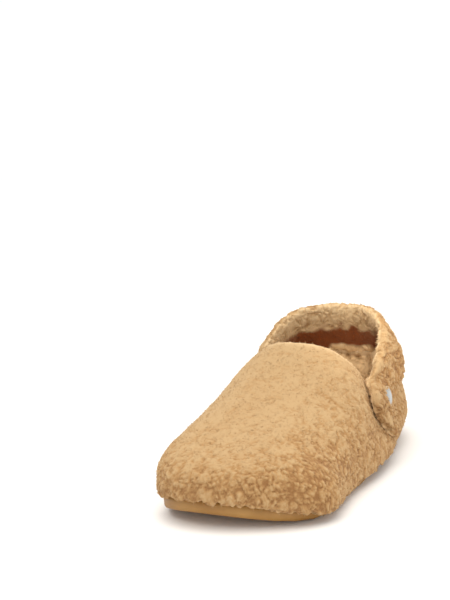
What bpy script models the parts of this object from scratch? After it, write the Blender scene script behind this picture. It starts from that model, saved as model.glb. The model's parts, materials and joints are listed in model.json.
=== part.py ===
"""Left-foot clog slipper in curly fleece: hollow upper, cupped rubber outsole, footbed, heel strap, two rivets.

Metres, +Z up. The toe points along -Y, and the outer side of the foot is towards +X.
Every section is worked out from the driving sizes below, through short tables of shares.
"""

import math
from collections import namedtuple

import bmesh
import bpy
from mathutils import Vector
from mathutils.bvhtree import BVHTree

# Driving sizes of the slipper, over the fleece
LENGTH = 0.264
BALL_WIDTH = 0.124
HEEL_WIDTH = 0.096
INSTEP_HEIGHT = 0.095
COLLAR_HEIGHT = 0.058
TOE_DEPTH = 0.066
UPPER_WALL = 0.0055

# Outsole: a cup, whose side stands above its floor
SOLE_SIDE = 0.0095
SOLE_FLOOR = 0.0055
SOLE_LIP = 0.0065
SOLE_INSET = 0.0045
SOLE_ROUND = 0.003
TOE_SPRING = 0.013
TOE_SPRING_POWER = 2.7
HEEL_SPRING = 0.005
ARCH_RISE = 0.0025
TREAD_DEPTH = 0.0016
TREAD_WIDTH = 0.0036
TREAD_PITCH = 0.0125
TREAD_MARGIN = 0.014

# Footbed, from the floor of the cup to the tread of the foot
FOOTBED_FRONT = 0.010
FOOTBED_HEEL = 0.017
FOOTBED_CUP = 0.003

# Heel strap
STRAP_WIDTH = 0.043
STRAP_THICKNESS = 0.009
STRAP_SLOPE = math.radians(37.0)
STRAP_SAG = 0.009
STRAP_LEAN_BACK = math.radians(24.0)
STRAP_TAIL = 0.023
TAIL_NARROWS = 0.0065
TAIL_THINS = 0.0030
STRAP_SETBACK = 0.024
STRAP_PLAN_POWER = 2.3
STRAP_FLARE = 0.001
STRAP_EDGE_POWER = 3.6
RIVET_FROM_HEEL = 0.096
RIVET_HEIGHT = 0.047

# Rivets
RIVET_RADIUS = 0.0082
RIVET_HEAD = 0.0028
RIVET_RIM = 0.0018
RIVET_SHANK = 0.0028
RIVET_WASHER = 0.0064
HOLE_REACH = 0.030
WASHER_THICKNESS = 0.0016
DISC_RISE = 0.0009

# Fits and forms
GAP = 0.0003
SECTION_POWER = 2.3
OUTER_TOE_POWER = 2.2
INNER_TOE_POWER = 2.7
HEEL_POWER = 2.15

# Mesh fineness
TOE_COLUMNS = 16
VAMP_COLUMNS = 11
THROAT_COLUMNS = 7
QUARTER_COLUMNS = 9
HEEL_COLUMNS = 14
SOLE_COLUMNS = 21
SOLE_PARTS = (0.0, 0.35, 0.65, 0.85)
TUCK_STEPS = 4
WALL_STEPS = 9
RIM_STEPS = 4
STRAP_STEPS = 40
STRAP_AROUND = 18
TAIL_STEPS = 7

TOE_CENTRE = -LENGTH / 2 + TOE_DEPTH
HEEL_CENTRE = LENGTH / 2 - HEEL_WIDTH / 2
SPINE = HEEL_CENTRE - TOE_CENTRE

# Sections of the last, from the toe centre (share 0) to the heel centre (share 1).
# swing: sideways place of the spine, as a share of the ball width, minus towards the big toe
# outer_ball to inner_heel: reach to the outer and inner side, as shares of half the ball and heel widths
# ridge: height of the section's top, as a share of the instep height
# widest: height of its widest place, as a share of the collar height
# tuck: how far the fleece turns in under itself above the sole, as a share of the upper's wall
# lean: how far the wall leans in towards the spine for its height over the widest place
Section = namedtuple(
    "Section", "share swing outer_ball outer_heel inner_ball inner_heel ridge widest tuck lean"
)
SECTIONS = (
    Section(0.00, -0.080, 1.11, 0.00, 0.82, 0.00, 0.640, 0.40, 0.9, 0.00),
    Section(0.15, -0.062, 1.14, 0.00, 0.86, 0.00, 0.720, 0.40, 0.9, 0.00),
    Section(0.30, -0.045, 1.13, 0.00, 0.86, 0.00, 0.830, 0.40, 0.9, 0.00),
    Section(0.40, -0.036, 0.95, 0.19, 0.67, 0.22, 0.930, 0.40, 0.9, 0.00),
    Section(0.50, -0.027, 0.64, 0.48, 0.42, 0.48, 1.000, 0.40, 0.9, 0.00),
    Section(0.70, -0.010, 0.19, 0.87, 0.10, 0.82, 1.100, 0.40, 1.0, 0.16),
    Section(0.85, 0.000, 0.04, 0.98, 0.02, 0.93, 1.200, 0.42, 1.3, 0.18),
    Section(1.00, 0.000, 0.00, 1.03, 0.00, 0.97, 1.240, 0.48, 1.7, 0.10),
)
# Downward slope of the toe's top at the toe centre, which the last's own rounding takes over
TOE_SLOPE = 0.50

# The throat's edge runs from its peak on the ridge down either side to the collar, between these shares
THROAT_START = 0.50
THROAT_END = 0.66
THROAT_BEND = 1.5
# Collar's edge from the throat's end to the back of the heel: its height as a share of the collar height
Collar = namedtuple("Collar", "share height")
COLLAR = (
    Collar(0.66, 1.06),
    Collar(0.75, 1.00),
    Collar(0.90, 1.00),
    Collar(1.00, 1.04),
)


def smooth_between(rows, place_name, value_name, place):
    """Value at a place of a table, on a smooth curve through its rows."""
    places = [getattr(row, place_name) for row in rows]
    values = [getattr(row, value_name) for row in rows]
    place = min(max(place, places[0]), places[-1])
    last = len(rows) - 2
    i = min(max(k for k in range(last + 1) if k == 0 or places[k] <= place), last)

    def slope(k):
        low, high = max(k - 1, 0), min(k + 1, len(rows) - 1)
        return (values[high] - values[low]) / (places[high] - places[low])

    width = places[i + 1] - places[i]
    t = (place - places[i]) / width
    start, end = values[i], values[i + 1]
    return (
        start * (2 * t**3 - 3 * t**2 + 1)
        + slope(i) * width * (t**3 - 2 * t**2 + t)
        + end * (3 * t**2 - 2 * t**3)
        + slope(i + 1) * width * (t**3 - t**2)
    )


def section_value(name, share):
    """A column of the section table at a share of the spine."""
    return smooth_between(SECTIONS, "share", name, share)


def side_reach(share, side):
    """Distance from the spine to the widest place of the outer (1) or inner (-1) side."""
    ball, heel = ("outer_ball", "outer_heel") if side > 0 else ("inner_ball", "inner_heel")
    return (
        section_value(ball, share) * BALL_WIDTH / 2 + section_value(heel, share) * HEEL_WIDTH / 2
    )


def superellipse(across, along, turn, power):
    """Distance to a superellipse with these half axes, in a direction turned from across."""
    return (
        abs(math.cos(turn) / across) ** power + abs(math.sin(turn) / along) ** power
    ) ** (-1 / power)


class Column:
    """One upright section from the spine outwards: its place, its direction and its sizes."""

    def __init__(self, share, turn, side):
        self.share, self.side = share, side
        self.direction = Vector((math.cos(turn), -math.sin(turn), 0))
        across = side_reach(share, side)
        if share <= 0:
            power = OUTER_TOE_POWER if side > 0 else INNER_TOE_POWER
            self.reach = superellipse(across, TOE_DEPTH, turn, power)
        elif share >= 1:
            self.reach = superellipse(across, HEEL_WIDTH / 2, turn, HEEL_POWER)
        else:
            self.reach = across
        self.centre = Vector(
            (section_value("swing", share) * BALL_WIDTH, TOE_CENTRE + share * SPINE, 0)
        )
        self.widest = section_value("widest", share) * COLLAR_HEIGHT
        self.ridge = section_value("ridge", share) * INSTEP_HEIGHT
        self.tuck = section_value("tuck", share) * UPPER_WALL
        self.lean = section_value("lean", share) if share > THROAT_START else 0.0

    def at(self, reach, height):
        """Point of this column's plane, at a reach from the spine and a height."""
        point = self.centre + self.direction * reach
        return Vector((point.x, point.y, height))

    def lip(self):
        """Height of the top of the outsole's side."""
        edge = self.centre + self.direction * (self.reach - sole_edge(self))
        return sole_spring(edge.y) + SOLE_SIDE

    def foot(self):
        """Height where the upper ends over the outsole's side."""
        return self.lip() + GAP

    def wall(self, rise, inset=0.0):
        """Point of the upper's surface, set in by a wall: rise 0 is the widest place and 1 the ridge,
        and from 0 to -1 the wall turns in to the sole."""
        angle = rise * math.pi / 2
        if rise < 0:
            foot = self.foot()
            reach = self.reach - inset - self.tuck * (1 - math.cos(angle))
            return self.at(reach, self.widest + (self.widest - foot) * math.sin(angle))
        power = 2 / SECTION_POWER
        part = max(math.cos(angle), 0.0) ** power
        reach = (self.reach - inset) * part
        height = self.widest + (self.ridge - inset - self.widest) * math.sin(angle) ** power
        if self.share <= 0:
            height -= TOE_SLOPE * self.direction.y * -reach * (1 - part)
        return self.at(reach - self.lean * (height - self.widest), height)

    def rise_at(self, height):
        """How far up the section a height lies, from -1 at the sole over 0 at its widest to 1 on the ridge."""
        if height < self.widest:
            sine = max((height - self.widest) / (self.widest - self.foot()), -1.0)
        else:
            part = (height - self.widest) / (self.ridge - self.widest)
            sine = min(part, 1.0) ** (SECTION_POWER / 2)
        return math.asin(sine) / (math.pi / 2)

    def reach_at(self, height):
        """Reach of the outer surface at a height above the sole."""
        return (self.wall(self.rise_at(height)) - self.centre).xy.length


def sole_spring(y):
    """Lift of the sole over the ground at the toe and at the back of the heel."""
    share = (y - TOE_CENTRE) / SPINE
    if share < 0:
        return TOE_SPRING * min(-share * SPINE / TOE_DEPTH, 1.05) ** TOE_SPRING_POWER
    if share > 1:
        return HEEL_SPRING * min((share - 1) * SPINE / (HEEL_WIDTH / 2), 1.05) ** 2
    return 0.0


def sole_bottom(y):
    """Height of the underside: toe spring, flat forefoot, arch, flat heel and the heel's lift."""
    arch = ((y - TOE_CENTRE) / SPINE - 0.30) / 0.40
    if 0 < arch < 1:
        return ARCH_RISE * math.sin(arch * math.pi) ** 2
    return sole_spring(y)


def cup_floor(y):
    """Height of the floor of the outsole's cup."""
    return sole_spring(y) + SOLE_FLOOR


def collar_height(share):
    """Height of the opening's edge behind the throat."""
    return smooth_between(COLLAR, "share", "height", share) * COLLAR_HEIGHT


def closed_columns():
    """Columns once round the shoe, from the outer side of the toe round the front, back along the inner side,
    round the heel and forward along the outer side."""
    places = []
    for i in range(TOE_COLUMNS):
        turn = math.pi * i / TOE_COLUMNS
        places.append((0.0, turn, 1 if turn < math.pi / 2 else -1))
    for i in range(SOLE_COLUMNS):
        places.append((i / SOLE_COLUMNS, math.pi, -1))
    for i in range(HEEL_COLUMNS):
        turn = math.pi * (1 + i / HEEL_COLUMNS)
        places.append((1.0, turn, -1 if turn < 1.5 * math.pi else 1))
    for i in range(SOLE_COLUMNS):
        places.append((1 - i / SOLE_COLUMNS, 2 * math.pi, 1))
    return [Column(*place) for place in places]


def new_object(name, bm, material):
    """Object from a bmesh, its doubles welded and its faces turned out."""
    bmesh.ops.remove_doubles(bm, verts=bm.verts, dist=1e-6)
    bmesh.ops.dissolve_degenerate(bm, edges=bm.edges, dist=1e-7)
    bmesh.ops.recalc_face_normals(bm, faces=bm.faces)
    mesh = bpy.data.meshes.new(name)
    bm.to_mesh(mesh)
    bm.free()
    mesh.shade_smooth()
    mesh.set_sharp_from_angle(angle=math.radians(50))
    if material:
        mesh.materials.append(material)
    obj = bpy.data.objects.new(name, mesh)
    bpy.context.scene.collection.objects.link(obj)
    return obj


def make_material(name, colour, roughness, metallic=0.0):
    """Principled material of one colour."""
    material = bpy.data.materials.new(name)
    material.use_nodes = True
    shader = material.node_tree.nodes["Principled BSDF"]
    shader.inputs["Base Color"].default_value = (*colour, 1.0)
    shader.inputs["Roughness"].default_value = roughness
    shader.inputs["Metallic"].default_value = metallic
    material.diffuse_color = (*colour, 1.0)
    return material


def loft(loops):
    """Bmesh skin over closed loops that all have as many points."""
    bm = bmesh.new()
    rings = [[bm.verts.new(point) for point in loop] for loop in loops]
    for low, high in zip(rings, rings[1:]):
        count = len(low)
        for i in range(count):
            j = (i + 1) % count
            bm.faces.new((low[i], low[j], high[j], high[i]))
    return bm


def wall_profile(column, rise_top, skew=0.0):
    """Outer points from the sole up to a rise, and the inner ones beside them. skew moves the place as it rises."""
    rises = [-1 + i / TUCK_STEPS for i in range(TUCK_STEPS)]
    rises += [rise_top * i / WALL_STEPS for i in range(WALL_STEPS + 1)]
    outer, inner = [], []
    for rise in rises:
        here = column
        if skew and rise > 0:
            share = column.share + skew * (rise / rise_top) ** 1.2
            here = Column(share, 0.0 if column.side > 0 else math.pi, column.side)
        outer.append(here.wall(rise))
        inner.append(here.wall(rise, UPPER_WALL))
    return outer, inner


def rolled_edge(outer_end, inner_end, away):
    """Points of the rolled edge between the ends of the outer and inner surfaces."""
    middle = (outer_end + inner_end) / 2
    half = (outer_end - inner_end) / 2
    points = []
    for i in range(1, RIM_STEPS):
        angle = math.pi * i / RIM_STEPS
        points.append(middle + half * math.cos(angle) + away * (half.length * math.sin(angle)))
    return points


def throat_columns(side):
    """Columns of one side whose tops lie along the throat's edge: (column, rise of the top, skew)."""
    made = []
    for i in range(THROAT_COLUMNS + 1):
        place = i / THROAT_COLUMNS
        foot_share = THROAT_START + (THROAT_END - THROAT_START) * place
        top_share = THROAT_START + (THROAT_END - THROAT_START) * place**THROAT_BEND
        turn = 0.0 if side > 0 else math.pi
        end = Column(THROAT_END, turn, side).rise_at(collar_height(THROAT_END))
        rise = 1 + (end - 1) * place**0.8
        made.append((Column(foot_share, turn, side), rise, top_share - foot_share))
    return made


def side_rows(side):
    """Columns of one side from toe to heel: (column, rise of the top, skew, opens at the top)."""
    turn = 0.0 if side > 0 else math.pi
    rows = []
    for i in range(VAMP_COLUMNS):
        rows.append((Column(THROAT_START * i / VAMP_COLUMNS, turn, side), 1.0, 0.0, False))
    rows += [(*row, True) for row in throat_columns(side)]
    for i in range(1, QUARTER_COLUMNS):
        share = THROAT_END + (1 - THROAT_END) * i / QUARTER_COLUMNS
        column = Column(share, turn, side)
        rows.append((column, column.rise_at(collar_height(share)), 0.0, True))
    return rows


def upper_rows():
    """Outer and inner points of the upper, a row a column, once round the shoe, with each row's opening."""
    columns = []
    for i in range(1, TOE_COLUMNS):
        turn = math.pi * i / TOE_COLUMNS
        columns.append((Column(0.0, turn, 1 if turn < math.pi / 2 else -1), 1.0, 0.0, False))
    columns += side_rows(-1)
    for i in range(HEEL_COLUMNS + 1):
        turn = math.pi * (1 + i / HEEL_COLUMNS)
        column = Column(1.0, turn, -1 if turn < 1.5 * math.pi else 1)
        columns.append((column, column.rise_at(collar_height(1.0)), 0.0, True))
    columns += side_rows(1)[::-1]
    return [(*wall_profile(*row[:3]), row[3]) for row in columns]


def edge_direction(before, here, after):
    """Way out of the wall at its edge, square to the edge and to the wall's thickness."""
    along = after[0][-1] - before[0][-1]
    across = here[1][-1] - here[0][-1]
    away = along.cross(across).normalized()
    return -away if away.dot(Vector((0, 0.6, 1))) < 0 else away


def build_upper(material):
    """Hollow fleece upper, open at the collar and underneath."""
    rows = upper_rows()
    steps = TUCK_STEPS + WALL_STEPS + 1
    bm = bmesh.new()
    made = []
    for i, (outer, inner, opening) in enumerate(rows):
        edge = []
        if opening:
            before, after = rows[i - 1], rows[(i + 1) % len(rows)]
            at_peak = not (before[2] and after[2])
            away = Vector((0, 1, 0)) if at_peak else edge_direction(before, rows[i], after)
            edge = rolled_edge(outer[-1], inner[-1], away)
        made.append(([bm.verts.new(p) for p in outer + edge + inner[::-1]], opening))
    for (low, low_open), (high, high_open) in zip(made, made[1:] + made[:1]):
        strips = [(low[:steps], high[:steps]), (low[-steps:], high[-steps:])]
        if low_open and high_open:
            strips = [(low, high)]
        for a, b in strips:
            for k in range(len(a) - 1):
                bm.faces.new((a[k], b[k], b[k + 1], a[k + 1]))
        bm.faces.new((low[0], low[-1], high[-1], high[0]))
    bmesh.ops.triangulate(bm, faces=bm.faces, quad_method="SHORT_EDGE")
    return new_object("upper", bm, material)


def sole_edge(column):
    """How far the outsole's side is set in from the upper's widest place."""
    return SOLE_INSET + column.tuck - 0.9 * UPPER_WALL


def ring(columns, inset_of, height_of):
    """Points once round the shoe, set in from the reach of each column, at a height that follows y."""
    points = []
    for column in columns:
        place = column.at(column.reach - inset_of(column), 0.0)
        points.append(Vector((place.x, place.y, height_of(place.y))))
    return points


def build_outsole(material):
    """Cupped rubber outsole with toe spring, arch, rounded edges and cross grooves."""
    columns = closed_columns()
    loops = []
    for part in SOLE_PARTS:
        loops.append(
            ring(
                columns,
                lambda c, p=part: c.reach * (1 - p) + p * (sole_edge(c) + SOLE_ROUND),
                sole_bottom,
            )
        )
    for i in range(4):
        angle = math.pi / 2 * i / 3
        inset = SOLE_ROUND * (1 - math.sin(angle))
        rise = SOLE_ROUND * (1 - math.cos(angle))
        loops.append(
            ring(columns, lambda c, s=inset: sole_edge(c) + s, lambda y, r=rise: sole_bottom(y) + r)
        )
    for inset in (0.0, SOLE_LIP):
        points = ring(columns, lambda c, s=inset: sole_edge(c) + s, sole_bottom)
        loops.append([Vector((p.x, p.y, c.lip())) for p, c in zip(points, columns)])
    loops.append(ring(columns, lambda c: sole_edge(c) + SOLE_LIP, cup_floor))
    for part in SOLE_PARTS[::-1]:
        loops.append(
            ring(
                columns,
                lambda c, p=part: c.reach * (1 - p) + p * (sole_edge(c) + SOLE_LIP),
                cup_floor,
            )
        )
    outsole = new_object("outsole", loft(loops), material)
    cut(outsole, tread_cutter())
    return outsole


def tread_cutter():
    """Cross bars that cut the grooves of the forefoot and the heel."""
    bm = bmesh.new()
    for start, end in ((0.02, 0.30), (0.72, 0.98)):
        count = int((end - start) * SPINE / TREAD_PITCH)
        for i in range(count + 1):
            share = start + (end - start) * i / count
            left = side_reach(share, -1) - TREAD_MARGIN
            right = side_reach(share, 1) - TREAD_MARGIN
            middle = section_value("swing", share) * BALL_WIDTH + (right - left) / 2
            made = bmesh.ops.create_cube(bm, size=1.0)["verts"]
            for vert in made:
                vert.co.x = middle + vert.co.x * (left + right)
                vert.co.y = TOE_CENTRE + share * SPINE + vert.co.y * TREAD_WIDTH
                vert.co.z = vert.co.z * 2 * TREAD_DEPTH
    return new_object("tread_cutter", bm, None)


def cut(obj, cutter):
    """Takes a cutter away from an object, and removes the cutter."""
    modifier = obj.modifiers.new("cut", "BOOLEAN")
    modifier.operation = "DIFFERENCE"
    modifier.solver = "EXACT"
    modifier.object = cutter
    depsgraph = bpy.context.evaluated_depsgraph_get()
    mesh = bpy.data.meshes.new_from_object(obj.evaluated_get(depsgraph))
    obj.modifiers.clear()
    obj.data = mesh
    bpy.data.objects.remove(cutter)


def footbed_top(y):
    """Height of the footbed's middle."""
    share = min(max((y - TOE_CENTRE) / SPINE, 0.15), 0.75)
    part = (share - 0.15) / 0.60
    part = part * part * (3 - 2 * part)
    return cup_floor(y) + FOOTBED_FRONT + (FOOTBED_HEEL - FOOTBED_FRONT) * part


def footbed_cup(y):
    """How far the footbed's rim stands above its middle."""
    share = min(max((y - TOE_CENTRE) / SPINE, 0.0), 1.0)
    return FOOTBED_CUP * (0.3 + 0.7 * share)


def build_footbed(material):
    """Footbed that fills the cup of the outsole and meets the upper's lining."""
    columns = closed_columns()
    loops = []
    for part in SOLE_PARTS + (1.0,):
        loops.append(
            ring(
                columns,
                lambda c, p=part: c.reach * (1 - p) + p * (sole_edge(c) + SOLE_LIP + GAP),
                lambda y: cup_floor(y) + GAP,
            )
        )
    for part in (0.0, 0.4, 0.8, 1.0):
        points = []
        for column in columns:
            low = column.at(column.reach - column.tuck - UPPER_WALL - 2 * GAP, 0.0)
            foot = column.foot()
            rim = footbed_top(low.y) + footbed_cup(low.y)
            height = foot + (rim - foot) * part
            points.append(column.wall(column.rise_at(height), UPPER_WALL + 2 * GAP))
        loops.append(points)
    for part in (0.9, 0.75, 0.4, 0.0):
        points = []
        for column in columns:
            place = column.at(part * (column.reach - column.tuck - UPPER_WALL - 2 * GAP), 0.0)
            rise = footbed_cup(place.y) * max((part - 0.4) / 0.6, 0.0) ** 1.5
            points.append(Vector((place.x, place.y, footbed_top(place.y) + rise)))
        loops.append(points)
    return new_object("insole", loft(loops), material)


def rivet_place(side):
    """Point on the upper's outer surface under a rivet, and the surface's outward direction."""
    y = LENGTH / 2 - RIVET_FROM_HEEL

    def surface(y, height):
        column = Column((y - TOE_CENTRE) / SPINE, 0.0 if side > 0 else math.pi, side)
        return column.at(column.reach_at(height), height)

    here = surface(y, RIVET_HEIGHT)
    along = surface(y + 0.004, RIVET_HEIGHT) - surface(y - 0.004, RIVET_HEIGHT)
    upward = surface(y, RIVET_HEIGHT + 0.004) - surface(y, RIVET_HEIGHT - 0.004)
    outward = along.cross(upward).normalized()
    return here, outward if outward.x * side > 0 else -outward


def upper_side_x(y, z, side):
    """Sideways place of the upper's outer side at a place and height: below its widest place it hangs straight,
    and over the rolled edge of its collar it is the middle of the shoe."""
    share = min(max((y - TOE_CENTRE) / SPINE, 0.0), 1.0)
    collar = collar_height(max(share, THROAT_END))
    turn = 0.0
    if y > HEEL_CENTRE:
        low, high = 0.0, math.pi / 2
        for _ in range(30):
            turn = (low + high) / 2
            column = Column(1.0, -turn, 1)
            ahead = column.at(column.reach_at(min(z, collar)), 0.0).y < y
            low, high = (turn, high) if ahead else (low, turn)
        if high > math.pi / 2 - 0.01:
            return 0.0
    column = Column(share, -turn if side > 0 else math.pi + turn, side)
    over = (z - collar) / (UPPER_WALL / 2)
    if over >= 1:
        return 0.0
    rolled = UPPER_WALL / 2 * (1 - math.sqrt(1 - max(over, 0.0) ** 2))
    height = min(max(z, column.widest), collar)
    return column.at(column.reach_at(height) - rolled, 0.0).x


def side_tilt(y, z, side):
    """How much further out the upper's side lies at the strap's upper edge than at its lower, for its width."""
    half = 0.3 * STRAP_WIDTH
    back, up = half * math.sin(STRAP_SLOPE), half * math.cos(STRAP_SLOPE)
    top, low = upper_side_x(y - back, z + up, side), upper_side_x(y + back, z - up, side)
    return (abs(top) - abs(low)) / (2 * half)


def strap_side_x(y, z, lean, width, side):
    """Sideways place where the strap's inner face just clears the upper, over the strap's whole width."""
    tilt = side_tilt(y, z, side)
    most = 0.0
    for k in range(13):
        over = (-1 + k / 6) * width * STRAP_WIDTH / 2
        reach = upper_side_x(y - over * math.sin(lean), z + over * math.cos(lean), side)
        if reach:
            most = max(most, abs(reach) - tilt * over)
    return side * (most + GAP)


def strap_centre(place):
    """Inner face of the strap's middle line: place -1 is the inner rivet, 0 the back and 1 the outer rivet."""
    side = 1 if place >= 0 else -1
    start, _ = rivet_place(side)
    ends = [strap_side_x(start.y, start.z, STRAP_SLOPE, 1.0, way) for way in (-1, 1)]
    back_y = LENGTH / 2 - STRAP_SETBACK - STRAP_THICKNESS
    middle_x = (ends[0] + ends[1]) / 2
    half = (ends[1] - ends[0]) / 2
    turn = (1 - abs(place)) * math.pi / 2
    power = 2 / STRAP_PLAN_POWER
    part = max(math.sin(turn), 0.0) ** power
    run = (back_y - start.y) * part
    flare = STRAP_FLARE * math.sin(2 * turn) ** 2
    x = middle_x + side * (half * max(math.cos(turn), 0.0) ** power + flare)
    z = start.z + math.tan(STRAP_SLOPE) * run - STRAP_SAG * part**4
    return Vector((x, start.y + run, z))


def strap_stations():
    """Stations along the strap's inner middle line: (point, lean of the width forwards and outwards, share of
    width, of thickness, side)."""
    tails = []
    for i in range(TAIL_STEPS):
        tails.append(STRAP_TAIL * (1 - (1 - i / (TAIL_STEPS - 1)) ** 2) if i else 0.0)
    stations = []
    for side in (-1, 1):
        start, _ = rivet_place(side)
        tail = []
        for run in tails[1:]:
            point = Vector(
                (0, start.y - run * math.cos(STRAP_SLOPE), start.z - run * math.sin(STRAP_SLOPE))
            )
            left = STRAP_TAIL - run
            width = 1 - 0.30 * max(1 - left / TAIL_NARROWS, 0.0) ** 2
            point.x = strap_side_x(point.y, point.z, STRAP_SLOPE, width, side)
            thick = 1 - 0.65 * max(1 - left / TAIL_THINS, 0.0) ** 2
            tilt = side_tilt(point.y, point.z, side)
            tail.append((point, STRAP_SLOPE, tilt * side, width, thick, side))
        stations.append(tail)
    body = []
    for i in range(STRAP_STEPS + 1):
        place = -1 + 2 * i / STRAP_STEPS
        place = math.copysign(abs(place) ** 0.9, place)
        point = strap_centre(place)
        lean = STRAP_LEAN_BACK + (STRAP_SLOPE - STRAP_LEAN_BACK) * abs(place) ** 1.5
        side = 1 if place >= 0 else -1
        start, _ = rivet_place(side)
        tilt = side_tilt(start.y, start.z, side) * place * abs(place)
        body.append((point, lean, tilt, 1.0, 1.0, side))
    return stations[0][::-1] + body + stations[1]


def strap_frames():
    """Frames along the strap: (point, across, outward, share of width, share of thickness, side)."""
    stations = strap_stations()
    frames = []
    for i, (point, lean, tilt, width, thick, side) in enumerate(stations):
        before = stations[max(i - 1, 0)][0]
        after = stations[min(i + 1, len(stations) - 1)][0]
        across = Vector((tilt, -math.sin(lean), math.cos(lean))).normalized()
        outward = (after - before).cross(across).normalized()
        centre = Vector((0, min(point.y, 0.06), point.z))
        if outward.dot(point - centre) < 0:
            outward = -outward
        frames.append((point, across, outward, width, thick, side))
    return frames


def strap_outward(side):
    """Outward direction of the strap over its rivet."""
    start, _ = rivet_place(side)
    frames = [frame for frame in strap_frames() if frame[5] == side]
    return min(frames, key=lambda frame: (frame[0].yz - start.yz).length)[2]


def strap_weight(over):
    """Share of a sideways push at a place across the strap: -1 is its lower edge."""
    return 0.65 - 0.35 * over


def strap_pushes(frames):
    """How far each frame moves sideways to clear the upper below its collar, eased along the strap."""
    needs = []
    for point, across, _, width, _, side in frames:
        need = 0.0
        for k in range(13):
            over = -1 + k / 6
            spot = point + across * (over * width * STRAP_WIDTH / 2)
            least = abs(upper_side_x(spot.y, spot.z, side)) + GAP
            need = max(need, (least - abs(spot.x)) / strap_weight(over) if least > GAP else 0.0)
        needs.append(need)
    pushes = []
    for i, frame in enumerate(frames):
        eased = 0.0
        for j, need in enumerate(needs):
            part = abs(i - j) / 9
            if part < 1 and frames[j][5] == frame[5]:
                eased = max(eased, need * (1 + math.cos(part * math.pi)) / 2)
        pushes.append(Vector((eased * frame[5], 0, 0)))
    return pushes


def build_strap(material):
    """Fleece band round the heel, riveted outside the quarters."""
    frames = strap_frames()
    loops = []
    power = 2 / STRAP_EDGE_POWER
    for (point, across, outward, width, thick, _), push in zip(frames, strap_pushes(frames)):
        loop = []
        for k in range(STRAP_AROUND):
            angle = 2 * math.pi * (k + 0.5) / STRAP_AROUND
            over = math.copysign(abs(math.cos(angle)) ** power, math.cos(angle)) * width
            depth = math.copysign(abs(math.sin(angle)) ** power, math.sin(angle)) * thick
            spot = point + across * (over * STRAP_WIDTH / 2) + push * strap_weight(over)
            loop.append(spot + outward * ((0.5 + depth / 2) * STRAP_THICKNESS))
        loops.append(loop)
    bm = loft(loops)
    bm.verts.ensure_lookup_table()
    count = len(bm.verts)
    bm.faces.new([bm.verts[k] for k in range(STRAP_AROUND)])
    bm.faces.new([bm.verts[k] for k in range(count - STRAP_AROUND, count)])
    return new_object("strap", bm, material)


def lathe(name, profile, start, outward, material, turns=24):
    """Solid of revolution: profile is (distance along the axis, radius) from one end of the axis to the other."""
    upward = Vector((0, 0, 1))
    side = outward.cross(upward).normalized()
    upward = side.cross(outward)
    loops = []
    for along, radius in profile:
        loop = []
        for i in range(turns):
            angle = 2 * math.pi * i / turns
            spoke = side * math.cos(angle) + upward * math.sin(angle)
            loop.append(start + outward * along + spoke * radius)
        loops.append(loop)
    return new_object(name, loft(loops), material)


def bore(near, far, radius, start, outward):
    """Cylinder that cuts a round hole along an axis."""
    profile = [(near, 0.0), (near, radius), (far, radius), (far, 0.0)]
    return lathe("bore", profile, start, outward, None)


def face_depths(obj, start, outward, radius, from_outside):
    """Places of an object's near face along an axis, over a disc round it."""
    tree = BVHTree.FromObject(obj, bpy.context.evaluated_depsgraph_get())
    side = outward.cross(Vector((0, 0, 1))).normalized()
    upward = side.cross(outward)
    way = -outward if from_outside else outward
    depths = []
    for share in (0.45, 0.75, 1.0):
        for i in range(16):
            angle = math.pi * i / 8
            spoke = (side * math.cos(angle) + upward * math.sin(angle)) * radius * share
            hit = tree.ray_cast(start + spoke - way * 0.03, way)[0]
            if hit:
                depths.append((hit - start).dot(outward))
    return depths


def build_rivets(upper, strap, tan, white):
    """Rivet and disc on either side, through clearance holes in the strap and the upper."""
    for side, name in ((1, "lateral"), (-1, "medial")):
        start, _ = rivet_place(side)
        outward = strap_outward(side)
        inside = min(face_depths(upper, start, outward, RIVET_WASHER, False)) - GAP
        strap_face = face_depths(strap, start, outward, RIVET_RADIUS, True)
        seat = (max(strap_face) + min(strap_face)) / 2
        for obj in (upper, strap):
            cut(obj, bore(-HOLE_REACH, HOLE_REACH, RIVET_SHANK + GAP, start, outward))
        cut(strap, bore(seat - GAP, HOLE_REACH, RIVET_RADIUS + GAP, start, outward))
        recess = seat + RIVET_HEAD - RIVET_RIM * 0.55
        ring_inner = RIVET_RADIUS - RIVET_RIM
        profile = (
            (inside - WASHER_THICKNESS, 0.0),
            (inside - WASHER_THICKNESS, RIVET_WASHER * 0.8),
            (inside - WASHER_THICKNESS * 0.5, RIVET_WASHER),
            (inside, RIVET_WASHER),
            (inside, RIVET_SHANK),
            (seat, RIVET_SHANK),
            (seat, RIVET_RADIUS * 0.94),
            (seat + RIVET_HEAD * 0.25, RIVET_RADIUS),
            (seat + RIVET_HEAD * 0.65, RIVET_RADIUS),
            (seat + RIVET_HEAD * 0.93, RIVET_RADIUS - RIVET_RIM * 0.25),
            (seat + RIVET_HEAD, RIVET_RADIUS - RIVET_RIM * 0.5),
            (seat + RIVET_HEAD * 0.93, ring_inner + RIVET_RIM * 0.1),
            (recess, ring_inner),
            (recess, 0.0),
        )
        lathe("rivet_" + name, profile, start, outward, tan)
        radius = ring_inner - GAP
        face = seat + RIVET_HEAD + DISC_RISE
        disc = (
            (recess + GAP, 0.0),
            (recess + GAP, radius),
            (face - DISC_RISE * 1.2, radius),
            (face - DISC_RISE * 0.75, radius * 0.93),
            (face - DISC_RISE * 0.25, radius * 0.6),
            (face, radius * 0.25),
            (face, 0.0),
        )
        lathe("disc_" + name, disc, start, outward, white)


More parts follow.
